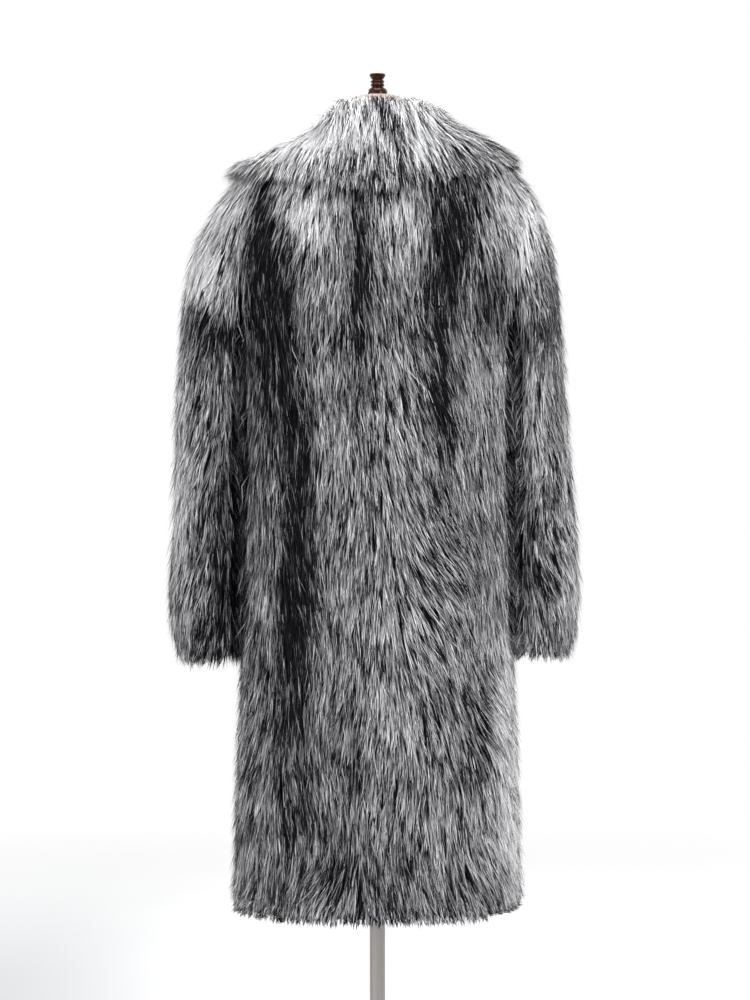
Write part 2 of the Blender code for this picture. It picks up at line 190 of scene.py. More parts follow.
def makeQuads(work, sharpAngle, sharpness, joinAngle):
    # sharp edges get a crease, and triangles join to quads for the smoothing
    crease = work.edges.layers.float.new("crease_edge")
    for edge in work.edges:
        faces = edge.link_faces
        if len(faces) == 2 and faces[0].normal.angle(faces[1].normal, 0) > math.radians(sharpAngle):
            edge[crease] = sharpness
    bmesh.ops.join_triangles(work, faces=work.faces, angle_face_threshold=math.radians(joinAngle),
                             angle_shape_threshold=math.radians(180), cmp_materials=True)


def smoothMesh(work, name, levels):
    coarse = bpy.data.meshes.new(name + "Coarse")
    work.to_mesh(coarse)
    carrier = bpy.data.objects.new(name + "Coarse", coarse)
    scene.collection.objects.link(carrier)
    smooth = carrier.modifiers.new("smooth", "SUBSURF")
    smooth.levels = smooth.render_levels = levels
    made = bpy.data.meshes.new_from_object(carrier.evaluated_get(bpy.context.evaluated_depsgraph_get()))
    bpy.data.objects.remove(carrier)
    made.name = name
    return made


def skinPatches(work, nodeName):
    # outer and inner faces: the two largest patches that are left when the rims are taken off
    limit = math.cos(math.radians(wall["rimAngle"]))
    seen = {f.index for f in work.faces if nodeName != "collar" and onArmhole(f)}
    patches = []
    for start in work.faces:
        if start.index in seen:
            continue
        seen.add(start.index)
        patch, waiting = [], [start]
        while waiting:
            face = waiting.pop()
            patch.append(face)
            for edge in face.edges:
                for other in edge.link_faces:
                    if other.index not in seen and other.normal.dot(face.normal) > limit:
                        seen.add(other.index)
                        waiting.append(other)
        patches.append(patch)
    patches.sort(key=lambda patch: -sum(face.calc_area() for face in patch))
    return patches[0], patches[1]


def unit(vectors):
    return vectors / np.maximum(np.linalg.norm(vectors, axis=-1, keepdims=True), 1e-12)


def readSkin(patch):
    order = {}
    for face in patch:
        for v in face.verts:
            order.setdefault(v.index, (len(order), tuple(v.co)))
    points = np.array([co for _, co in sorted(order.values())])
    triangles = np.array([[order[v.index][0] for v in face.verts] for face in patch])
    a, b, c = (points[triangles[:, i]] for i in range(3))
    across = np.cross(b - a, c - a)
    normals = np.zeros_like(points)
    for i in range(3):
        np.add.at(normals, triangles[:, i], across)
    return {"points": points, "triangles": triangles, "normals": unit(normals),
            "areas": np.linalg.norm(across, axis=1) / 2}


def joinSkins(parts):
    start, points, normals, triangles = 0, [], [], []
    for part in parts:
        points.append(part["points"])
        normals.append(part["normals"])
        triangles.append(part["triangles"] + start)
        start += len(part["points"])
    return {"points": np.vstack(points), "normals": np.vstack(normals), "triangles": np.vstack(triangles)}


def treeOf(skin):
    corners = [tuple(int(i) for i in triangle) for triangle in skin["triangles"]]
    return BVHTree.FromPolygons([tuple(point) for point in skin["points"]], corners)


# Creases of the hanging cloth, on its outer side. A ridge's depth is below nought, and slant
# is how far the crease runs towards +X for each metre down.
creases = {
    "columns": ("x", "z", "halfWidth", "halfLength", "depth", "slant"),
    "back": (
        (-0.147, 0.645, 0.011, 0.065, 0.0085, 0.1), (-0.124, 0.64, 0.016, 0.075, -0.003, 0.1),
        (-0.097, 0.41, 0.009, 0.045, 0.006, -0.15), (-0.08, 0.415, 0.012, 0.05, -0.0022, -0.15),
        (0.1, 0.56, 0.02, 0.11, 0.0035, 0.05), (0.03, 0.45, 0.018, 0.08, 0.003, -0.08),
        (-0.04, 0.8, 0.02, 0.12, 0.003, -0.15), (0.115, 1.0, 0.018, 0.13, 0.0035, 0.1),
    ),
    "front": (
        (0.1, 0.52, 0.018, 0.13, 0.0055, 0.06), (0.128, 0.54, 0.018, 0.12, -0.0025, 0.06),
        (-0.09, 0.6, 0.018, 0.14, 0.005, -0.05), (-0.118, 0.6, 0.018, 0.12, -0.0025, -0.05),
        (0.05, 0.9, 0.016, 0.1, 0.0035, -0.1), (-0.13, 0.96, 0.016, 0.09, 0.004, 0.12),
        (0.0, 0.7, 0.012, 0.32, 0.0035, 0.0),
    ),
    "facing": 1.6,  # how soon a crease fades where the cloth turns away
    "bodyHalfWidth": 0.188,
    "share": 0.6,  # of a crease's depth that the backing takes
}
elbow = {"depth": 0.003, "z": 1.02, "halfHeight": 0.10, "pitch": 95, "slant": 0.25, "shift": 0.8,
         "x": 0.191, "top": 1.15}  # soft rings round each sleeve


def bell(values, middle, halfWidth):
    return np.exp(-(((values - middle) / halfWidth) ** 2))


def rise(values, start, width):
    return np.clip((values - start) / width, 0, 1)


def faceRows(table, groups=(("back", 1), ("front", -1), ("both", 1), ("both", -1))):
    # a table's rows, each with +1 on the back and -1 on the front
    for group, side in groups:
        for row in table.get(group, ()):
            yield dict(zip(table["columns"], row)), side


def creaseDepth(points, normals):
    depth = np.zeros(len(points))
    onBody = np.abs(points[:, 0]) < creases["bodyHalfWidth"]
    for c, side in faceRows(creases):
        facing = np.clip(normals[:, 1] * side * creases["facing"], 0, 1)
        middle = c["x"] + (c["z"] - points[:, 2]) * c["slant"]
        across, along = (points[:, 0] - middle) / c["halfWidth"], (points[:, 2] - c["z"]) / c["halfLength"]
        depth += c["depth"] * np.exp(-across**2 - along**2) * facing * onBody
    onSleeve = (np.abs(points[:, 0]) > elbow["x"]) & (points[:, 2] < elbow["top"])
    height = points[:, 2] - elbow["slant"] * points[:, 1]
    rings = np.sin(height * elbow["pitch"] + np.sign(points[:, 0]) * elbow["shift"])
    near = bell(points[:, 2], elbow["z"], elbow["halfHeight"])
    return depth + onSleeve * near * elbow["depth"] * (0.5 + 0.5 * rings)


# cloth shells: backing on the outside, lining on the inside

shell = {
    "backingDepth": 0.0055,  # the pile's root below the fur's surface
    "sharpAngle": 60,
    "sharpness": 0.9,
    "ripple": 0.00055,  # of the lining
    "waves": ((17, 5, 1.0), (29, -9, 0.6)),  # round, along and share
    "backingLook": {"Roughness": 0.95, "Specular IOR Level": 0.15},
    "backingTones": ((0.35, (0.018, 0.018, 0.020)), (0.75, (0.0468, 0.0468, 0.052))),
    "liningTones": ((0.3, (0.030, 0.030, 0.034)), (0.8, (0.052, 0.052, 0.058))),
    "twillTurn": 38,
}


def liningMaterial():
    material, tree, shader = newMaterial("twillLining")
    twill = addPlaced(tree, "TexWave", {"Rotation": (0.0, math.radians(shell["twillTurn"]), 0.0)},
                      Scale=330.0, Distortion=0.6, bands_direction="X")
    slub = addPlaced(tree, "TexNoise", Scale=24.0, Detail=4.0)
    tone = addRamp(tree, shell["liningTones"], slub.outputs["Fac"])
    thread = addMix(tree, 0.35, tone, twill.outputs["Color"], "OVERLAY")
    finishShader(tree, shader, thread, {"Roughness": 0.42, "Sheen Weight": 0.25})
    addBump(tree, twill.outputs["Fac"], 0.25, 0.0004, shader)
    return material


def lowerSkin(work, outer):
    # the outer skin goes down to the pile's root
    normals = {}
    for face in outer:
        for v in face.verts:
            normals[v.index] = normals.get(v.index, Vector()) + face.normal * face.calc_area()
    for v in work.verts:
        if v.index in normals:
            v.co -= normals[v.index].normalized() * shell["backingDepth"]


def buildShell(nodeName, work, outer, inner):
    for face in work.faces:
        face.material_index = 0
    for face in inner:
        face.material_index = 1
    lowerSkin(work, outer)
    makeQuads(work, shell["sharpAngle"], shell["sharpness"], shell["sharpAngle"])
    slot, pieceName = cloths[nodeName][:2]
    made = smoothMesh(work, pieceName, 2 if nodeName == "collar" else 1)
    co, no = np.zeros(len(made.vertices) * 3), np.zeros(len(made.vertices) * 3)
    made.vertices.foreach_get("co", co)
    made.vertices.foreach_get("normal", no)
    co, no = co.reshape(-1, 3), no.reshape(-1, 3)
    inside = np.zeros(len(co), bool)
    for face in made.polygons:
        if face.material_index == 1:
            inside[list(face.vertices)] = True
    # creases outside, ripples in the lining
    sink = np.where(inside, 0.0, creaseDepth(co, no) * creases["share"])
    turn = np.arctan2(co[:, 1], co[:, 0])
    wave = sum(share * np.sin(turn * around + co[:, 2] * along) for around, along, share in shell["waves"])
    sink += np.where(inside, -np.abs(shell["ripple"] * wave), 0.0)
    made.vertices.foreach_set("co", (co - no * sink[:, None]).ravel())
    made.shade_smooth()
    return addPiece(pieceName, made, (backing, lining), (nodeName,))


lining = liningMaterial()
backing = grainMaterial("shortUnderfur", (420.0, 420.0, 90.0), shell["backingTones"], shell["backingLook"],
                        (0.7, 0.002), Detail=3.0, Roughness=0.6)
fabricPieces, outerSkins, innerSkins = {}, {}, {}
for name in cloths:
    work = wallOf(name)
    outer, inner = skinPatches(work, name)
    outerSkins[name], innerSkins[name] = readSkin(outer), readSkin(inner)
    fabricPieces[name] = buildShell(name, work, outer, inner)
    work.free()
print("cloth shells made:", len(fabricPieces))


# the fur

fur = {
    "seed": 11,
    "strandsPerSquareCm": {"fur_body": 26.0, "fur_sleeves": 26.0, "fur_collar": 34.0},
    "length": {"fur_body": 0.047, "fur_sleeves": 0.043, "fur_collar": 0.050},
    "lengthSpread": 0.16,
    "width": 0.0014,
    "widthSpread": 0.25,
    "widest": 0.5,  # place along a strand
    "tipLift": {"fur_body": 0.0065, "fur_sleeves": 0.0065, "fur_collar": 0.0090},  # off the fur's surface
    "rootDepth": 0.0006,  # below the backing
    # guard hairs stand out of the mass
    "guardShare": {"fur_body": 0.07, "fur_sleeves": 0.07, "fur_collar": 0.20},
    "guardLift": (0.006, 0.013),
    "guardTimes": {"turn": 2.0, "length": 1.1, "pull": 0.4, "curl": 2.2, "width": 0.7},
    # locks
    "lockSpacing": 0.0043,  # from one lock to the next, across the nap
    "lockLong": 3.0,  # how much further apart locks are along the nap
    "lockReach": 0.009,  # furthest that a strand is drawn to its lock's middle
    "lockPull": 0.80,  # how far a lock's strands close up at their tips
    "lockSink": 0.0042,  # how much lower a lock's rim lies than its middle
    "lockTurn": 4.0,  # degrees by which locks differ
    "lockSpread": 0.10,  # of the locks' lengths
    "strandTurn": 2.2,
    "curl": 0.030,
    "tilt": 24,  # degrees by which a strand turns about its own length
    # past an edge: how far hair hangs, and how much it turns down
    "hang": {"fur_body": (0.003, 0.015), "fur_sleeves": (0.010, 0.026), "fur_collar": (0.016, 0.036)},
    "droop": {"fur_body": 0.0, "fur_sleeves": 0.2, "fur_collar": 0.7},
    "hemTrim": (1.6, 2.6),  # towards the left and the right side seam
    "cuffLean": 0.25,  # by which the left cuff's hair hangs further
    "rightEdge": (-0.15, 0.002, 0.010),  # x, and the shortest strands beyond it and elsewhere
    "steps": {"body": 2, "collar": 6},  # steps along the cloth
    "strayShare": 0.06,  # light strands amid dark ones
    "mostTriangles": 195000,  # for each piece
}
collarHair = {
    "radius": 0.12,
    "standLength": 0.75,  # of the hair that faces the neck
    "corner": (0.10, 0.04),  # x where the left corner starts, and its width
    "cornerLength": 0.35,  # by which hair at the left corner is longer
    "edgeLift": 0.004,  # of the fringe
    "foldSteep": (0.45, 0.35),
    "foldLow": 0.45,  # by which hair lies lower over the fold
    "dip": (0.90, 0.122, 0.048),  # share, x and half width of the low hair on the left slope
    "crest": 0.0065,  # by which hair on the fold hides the neck cap
    "crests": ((1.0, 0.036, 0.022), (0.7, -0.046, 0.013)),  # share, x and half width
    "crestFrom": (1.462, 0.010),
    "darkGuards": 0.38,  # share of the guard hairs that are dark, less towards the sides
    "darkFringe": 0.46,  # and of the fringe
}
gap = {
    "reach": 0.045,  # gaps between sleeve and body up to this width are filled
    "buried": (0.008, 0.012),  # room over the root and the tip of a strand that lies hidden
    "kept": 0.12,  # share of the hidden strands
    "room": (0.4, 0.45),  # shares of the room that half way and tip may take
    "facing": 0.6,
    "aside": 0.12,
    "below": 1.30,
    "middle": (0.05, 0.35),  # shares of the gap that the hair beside a sleeve stands out
    "tip": (0.10, 0.56),
}

# Direction of the nap: spots where it turns away from straight down, in degrees seen from outside,
# clockwise: on the back over to the wearer's right.
nap = {
    "columns": ("x", "z", "halfWidth", "halfHeight", "turn"),
    "back": (
        (-0.07, 1.13, 0.08, 0.14, 12), (-0.068, 0.83, 0.052, 0.15, 30),
        (-0.165, 0.64, 0.04, 0.09, 28), (0.14, 1.18, 0.04, 0.12, 12),
        (0.115, 0.8, 0.045, 0.25, 12), (0.18, 0.6, 0.03, 0.2, -12),
        (0.12, 1.33, 0.05, 0.05, -8), (-0.12, 1.33, 0.05, 0.05, 8),
        (-0.15, 0.45, 0.05, 0.07, 14), (0.06, 0.43, 0.045, 0.045, -26),
        (0.015, 0.43, 0.035, 0.045, 18),
    ),
    "front": (
        (0.08, 0.8, 0.07, 0.2, 14), (-0.1, 0.6, 0.06, 0.16, -16),
        (0.12, 0.45, 0.05, 0.06, 16),
    ),
    "splay": 8,  # degrees for each metre off the middle
    "wander": 6,  # degrees of slow wandering
    "waveLength": 0.16,
    "outward": {"fur_body": 0.05, "fur_sleeves": 0.16},
    "bodyHalfWidth": 0.18,
}

# Markings of the pelts: lighter and darker patches where the hair is seen, with a few rows of painted light
# and shade among them, marked below. A patch is added to the base of its piece; 0 is all dark hair and 1 is
# all light hair.
markings = {
    "columns": ("x", "z", "halfWidth", "halfHeight", "shade"),
    "base": {"fur_body": 0.53, "fur_sleeves": 0.49, "fur_collar": 0.94},
    "back": (
        (0.092, 1.345, 0.046, 0.072, 0.42), (-0.044, 1.325, 0.034, 0.07, 0.25),
        (0.023, 1.262, 0.013, 0.088, -0.47), (0.05, 1.16, 0.06, 0.04, -0.2),
        (0.164, 1.255, 0.022, 0.09, -0.62), (0.136, 1.16, 0.024, 0.12, -0.66),
        (0.108, 0.9, 0.027, 0.17, -0.53), (0.115, 0.64, 0.032, 0.2, -0.38),
        (-0.098, 1.285, 0.034, 0.11, -0.52), (-0.16, 1.24, 0.02, 0.06, -0.26),
        (-0.088, 1.08, 0.017, 0.13, -0.42), (-0.15, 1.05, 0.03, 0.13, 0.06),
        (-0.06, 0.83, 0.03, 0.18, 0.1), (-0.175, 0.6, 0.035, 0.2, 0.27),
        (-0.148, 0.64, 0.007, 0.055, -0.5), (-0.098, 0.405, 0.006, 0.04, -0.3),
        (-0.005, 0.4, 0.05, 0.05, -0.2), (0.232, 0.78, 0.03, 0.13, -0.27),
        (-0.155, 1.225, 0.022, 0.04, -0.18), (-0.012, 1.362, 0.014, 0.03, -0.22),
        (-0.24, 1.03, 0.022, 0.035, -0.06), (0.2, 1.285, 0.016, 0.035, -0.24),
        (0.164, 1.02, 0.018, 0.07, -0.22), (0.096, 1.035, 0.015, 0.045, -0.22),
        (0.042, 0.53, 0.044, 0.11, -0.22), (0.132, 0.4, 0.025, 0.035, -0.22),
        (-0.125, 0.94, 0.014, 0.06, -0.14), (-0.124, 1.29, 0.016, 0.05, -0.26),
        (-0.127, 0.64, 0.014, 0.07, -0.22), (-0.05, 1.19, 0.02, 0.05, -0.18),
        (-0.052, 0.91, 0.016, 0.03, -0.16), (0.018, 1.075, 0.022, 0.06, -0.22),
        (0.248, 1.235, 0.03, 0.036, 0.34), (0.205, 1.365, 0.036, 0.04, 0.3),
        (0.137, 0.79, 0.014, 0.08, 0.18), (-0.05, 0.72, 0.05, 0.08, 0.1),
        (0.225, 1.335, 0.05, 0.11, 0.56), (-0.205, 1.34, 0.05, 0.085, 0.52),
        (0.23, 1.165, 0.055, 0.03, -0.42), (-0.215, 1.16, 0.05, 0.028, -0.2),
        # painted light: the first row here lightens the right sleeve's upper part, on the side the light
        # comes from
        (-0.22, 1.08, 0.06, 0.07, 0.2), (0.215, 0.85, 0.016, 0.13, -0.24),
        (-0.225, 0.8, 0.032, 0.11, -0.1), (0.163, 1.345, 0.02, 0.036, -0.42),
        # painted shadow: a thin dark band on the back just under the collar's edge
        (0.03, 1.354, 0.075, 0.011, -0.24),
    ),
    "front": (
        (0.09, 1.25, 0.045, 0.07, 0.28), (-0.09, 1.25, 0.045, 0.07, 0.28),
        (0.15, 1.15, 0.022, 0.12, -0.4), (-0.15, 1.15, 0.022, 0.12, -0.4),
        (0.06, 1.0, 0.02, 0.16, -0.26), (-0.06, 1.0, 0.02, 0.16, -0.26),
        (0.12, 0.62, 0.04, 0.18, -0.1), (-0.1, 0.48, 0.05, 0.12, 0.08),
        (0.22, 1.3, 0.04, 0.09, 0.42), (-0.215, 1.3, 0.04, 0.09, 0.42),
        (0.23, 1.16, 0.045, 0.026, -0.4), (-0.225, 1.16, 0.045, 0.026, -0.36),
    ),
    # painted light: lighter hair along the sides of the body and the sleeves' outer edges, on both faces
    "both": (
        (-0.19, 0.55, 0.02, 0.25, 0.45), (-0.275, 0.87, 0.02, 0.16, 0.38),
        (0.28, 0.96, 0.02, 0.24, 0.42), (0.205, 0.55, 0.02, 0.12, 0.25),
    ),
    "collar": (
        (-0.13, 1.415, 0.045, 0.04, -0.2), (0.0, 1.38, 0.08, 0.024, -0.12),
        (-0.02, 1.415, 0.05, 0.03, -0.05), (0.13, 1.43, 0.08, 0.06, 0.1),
    ),
    "wave": (0.08, 0.09),  # strength and length of slow changes
    "limits": (0.055, 0.985),
    "readAt": 0.65,  # place along a strand where its shade is read
    "lightTone": (0.60, 0.98),  # tone of the light hair where the pelt is darkest and lightest
    "darkTone": (0.0, 0.13),
    "luck": (1.92, 0.50, 0.74),  # by place in the lock (dark hair at the rim, partly painted shade between locks), by lock and by strand
    "strayLuck": 2.6,
    "crispness": 5.5,  # how sharply light and dark hair part
    "lockTone": 0.05,
    "strandTone": 0.09,
    "gapTone": -0.10,  # in the shade between a sleeve and the body
    "paintedRimShade": {"fur_body": -0.18, "fur_sleeves": -0.18, "fur_collar": -0.08},  # painted shade in the gaps between locks, at a lock's rim
    "collarBoost": 0.13,  # by which the collar's light hair is lighter still
}
stripe = {"shade": -0.66, "x": -0.009, "top": 1.487, "slant": 0.28, "halfWidth": 0.013, "fadeFrom": 1.37,
          "fadeOver": 0.07, "least": 0.45}  # down the middle of the back of the collar


def smoothWaves(points, rng, waveLength, count=9):
    # a slow random field between about -1 and 1
    field = np.zeros(len(points))
    for _ in range(count):
        way = unit(rng.normal(size=3))
        reach = waveLength * rng.uniform(0.7, 1.4)
        field += np.sin(points @ way * 2 * math.pi / reach + rng.uniform(0, 6.28))
    return field / math.sqrt(count / 2) / 1.4


def spread(rng, count):
    # normal luck without its far ends
    return rng.normal(size=count).clip(-2, 2)


def tableField(table, key, points, normals, **groups):
    total = np.zeros(len(points))
    for c, side in faceRows(table, **groups):
        across, along = (points[:, 0] - c["x"]) / c["halfWidth"], (points[:, 2] - c["z"]) / c["halfHeight"]
        facing = np.clip(normals[:, 1] * side * 1.5 + 0.35, 0, 1)
        total += c[key] * np.exp(-np.abs(across) ** 2.4 - np.abs(along) ** 2.4) * facing
    return total


def project(vectors, normals):
    return vectors - normals * np.sum(vectors * normals, axis=1, keepdims=True)


def rotate(vectors, axes, angles):
    c, s = np.cos(angles)[:, None], np.sin(angles)[:, None]
    return vectors * c + np.cross(axes, vectors) * s


def napDirection(points, normals, slot):
    if slot != "fur_collar":
        side = np.sign(points[:, 0]) if slot == "fur_sleeves" else points[:, 0] / nap["bodyHalfWidth"]
        way = np.stack([side * nap["outward"][slot], np.zeros(len(points)), -np.ones(len(points))], axis=1)
        return unit(project(way, normals))
    around = unit(np.stack([-points[:, 1], points[:, 0], np.zeros(len(points))], axis=1))
    return unit(np.cross(around, normals))


def napTurn(points, normals, slot, waves):
    turn = nap["wander"] * waves
    if slot != "fur_collar":
        turn = turn + tableField(nap, "turn", points, normals)
    if slot == "fur_body":
        turn = turn - nap["splay"] * points[:, 0] * np.clip(normals[:, 1] * 2, -1, 1)
    return np.radians(turn)


def nearestOn(tree, skin, points):
    # nearest points of a skin, with its smooth normals there
    found = np.zeros((len(points), 3))
    index = np.zeros(len(points), int)
    for i, p in enumerate(points):
        co, _, at, _ = tree.find_nearest(p)
        found[i], index[i] = co, at
    corners = skin["points"][skin["triangles"][index]]
    normals = skin["normals"][skin["triangles"][index]]
    a, b, c = corners[:, 0], corners[:, 1], corners[:, 2]
    whole = np.linalg.norm(np.cross(b - a, c - a), axis=1)
    u = np.linalg.norm(np.cross(b - found, c - found), axis=1) / whole
    v = np.linalg.norm(np.cross(c - found, a - found), axis=1) / whole
    w = np.clip(1 - u - v, 0, 1)
    return found, unit(normals[:, 0] * u[:, None] + normals[:, 1] * v[:, None] + normals[:, 2] * w[:, None])


def roomAbove(tree, points, normals, far):
    # distance to whatever covers each point, or far
    room = np.full(len(points), far)
    for i in range(len(points)):
        hit = tree.ray_cast(points[i] + normals[i] * 0.0005, normals[i], far)
        if hit[0] is not None:
            room[i] = hit[3]
    return room


def scatter(skin, count, rng):
    chosen = rng.choice(len(skin["areas"]), size=count, p=skin["areas"] / skin["areas"].sum())
    r1, r2 = np.sqrt(rng.random(count)), rng.random(count)
    weights = np.stack([1 - r1, r1 * (1 - r2), r1 * r2], axis=1)[:, :, None]
    corners = skin["triangles"][chosen]
    points, normals = ((skin[key][corners] * weights).sum(axis=1) for key in ("points", "normals"))
    return points, unit(normals)


def followCloth(tree, skin, points, normals, ways, lengths, steps, droop):
    # walks along the cloth, and straight on where it ends; gives the stops and how far past the edge it went
    stops, past = [(points, normals, ways)], np.zeros(len(points))
    for _ in range(steps):
        ahead = points + ways * (lengths / steps)[:, None]
        near, found = nearestOn(tree, skin, ahead)
        off = np.sum((ahead - near) * found, axis=1)
        aside = np.linalg.norm(ahead - near - found * off[:, None], axis=1)
        beyond = (aside > 0.0015 + 0.3 * np.abs(off)) | (np.abs(off) > 0.013)
        beyond |= np.sum(found * normals, axis=1) < 0
        past = np.where(beyond, past + lengths / steps, past)
        beyond = beyond[:, None]
        points, normals = np.where(beyond, ahead, near), unit(np.where(beyond, normals, found))
        down = np.array([0.0, 0.0, droop / steps])
        ways = np.where(beyond, unit(ways - down), unit(project(ways, normals)))
        stops.append((points, normals, ways))
    return stops, past


def shareLine(share):
    return np.log(share / (1 - share)) / 1.7


def lockPlace(points, onCollar):
    # places pressed together along the nap, so that a lock is long and narrow
    if not onCollar:
        return points * np.array([1.0, 1.0, 1 / fur["lockLong"]])
    around = np.arctan2(points[:, 0], points[:, 1]) * collarHair["radius"]
    away = np.hypot(points[:, 0], points[:, 1]) / fur["lockLong"]
    return np.stack([around, away, points[:, 2] / fur["lockLong"]], axis=1)


def nearestLocks(lockRoot, root, onCollar):
    finder = KDTree(len(lockRoot))
    for i, p in enumerate(lockPlace(lockRoot, onCollar)):
        finder.insert(p, i)
    finder.balance()
    return np.array([finder.find(p)[1] for p in lockPlace(root, onCollar)])


def allowedHang(slot, root, corner, rng):
    # how far each strand may hang past an edge
    least, most = fur["hang"][slot]
    allowed = least + (most - least) * rng.random(len(root)) ** 1.3
    allowed *= 1 + collarHair["cornerLength"] * corner
    if slot == "fur_body":
        allowed *= 1 - np.where(root[:, 0] > 0, *fur["hemTrim"]) * rise(np.abs(root[:, 0]), 0.14, 0.06)
    if slot == "fur_sleeves":
        allowed *= 1 + fur["cuffLean"] * np.sign(root[:, 0])
    return allowed


def collarCrest(root):
    height = sum(share * bell(root[:, 0], x, halfWidth) for share, x, halfWidth in collarHair["crests"])
    return height * collarHair["crest"] * rise(root[:, 2], *collarHair["crestFrom"]) * (root[:, 1] > 0)


def fitUnder(cover, root, normal, tip, tipNormal, midLift, lift, rng):
    # hair under another piece lies low, or is left out; in the gap beside a sleeve it stands out and fills it
    rootRoom = roomAbove(cover, root, normal, gap["reach"])
    tipRoom = roomAbove(cover, tip, tipNormal, gap["reach"])
    buried = (rootRoom < gap["buried"][0]) & (tipRoom < gap["buried"][1])
    keep = ~buried | (rng.random(len(root)) < gap["kept"])
    least = np.minimum(rootRoom, tipRoom)
    beside = (tipRoom < gap["reach"]) & (np.abs(tipNormal[:, 0]) > gap["facing"])
    beside &= (np.abs(tip[:, 0]) > gap["aside"]) & (tip[:, 2] < gap["below"])
    lift = np.minimum(lift, tipRoom * gap["room"][1])
    lift = np.where(beside, tipRoom * rng.uniform(*gap["tip"], len(root)), lift)
    midLift = np.minimum(midLift, least * gap["room"][0])
    midLift = np.where(beside, least * rng.uniform(*gap["middle"], len(root)), midLift)
    return keep, beside, midLift, lift


def peltShade(slot, root, normal, seen, rng):
    # the share of light hair, read where the hair is seen
    strength, waveLength = markings["wave"]
    shade = markings["base"][slot] + strength * smoothWaves(root, rng, waveLength)
    if slot == "fur_collar":
        middle = stripe["x"] - stripe["slant"] * (stripe["top"] - seen[:, 2])
        fade = np.clip((seen[:, 2] - stripe["fadeFrom"]) / stripe["fadeOver"], stripe["least"], 1)
        shade += stripe["shade"] * fade * (root[:, 1] > 0) * bell(seen[:, 0], middle, stripe["halfWidth"])
        shade += tableField(markings, "shade", seen, normal, groups=(("collar", 1),))
    else:
        shade += tableField(markings, "shade", seen, normal)
    return np.clip(shade, *markings["limits"])


def strandTones(slot, shade, root, lock, lockCount, rim, past, guard, beside, rng):
    # light strands run along a lock's middle, dark ones along its rim: partly painted shade between locks
    count, onCollar = len(root), slot == "fur_collar"
    luck = markings["luck"][0] * (rim - 0.5) + markings["luck"][1] * rng.normal(size=lockCount)[lock]
    luck += markings["luck"][2] * rng.normal(size=count)
    luck -= markings["strayLuck"] * (rng.random(count) < fur["strayShare"])
    mix = 1 / (1 + np.exp((luck - shareLine(shade)) * markings["crispness"]))
    if onCollar:
        aside = np.abs(root[:, 0])
        mix *= ~(guard & (rng.random(count) < collarHair["darkGuards"] * (1 - 0.5 * rise(aside, 0, 0.09))))
        fringe = collarHair["darkFringe"] * (1 - 0.8 * rise(aside, 0.12, 0.06))
        mix *= ~((past > 0.010) & (rng.random(count) < fringe))
    light, dark = (low + (high - low) * shade for low, high in (markings["lightTone"], markings["darkTone"]))
    tone = dark + (light + markings["collarBoost"] * onCollar - dark) * mix
    tone += markings["lockTone"] * rng.normal(size=lockCount)[lock]
    tone += markings["strandTone"] * rng.normal(size=count)
    # painted shade: darker at a lock's rim and in the gap beside a sleeve
    tone += markings["paintedRimShade"][slot] * np.minimum(rim, 1) ** 2 + markings["gapTone"] * beside
    return np.clip(tone, 0.0, 1.0)


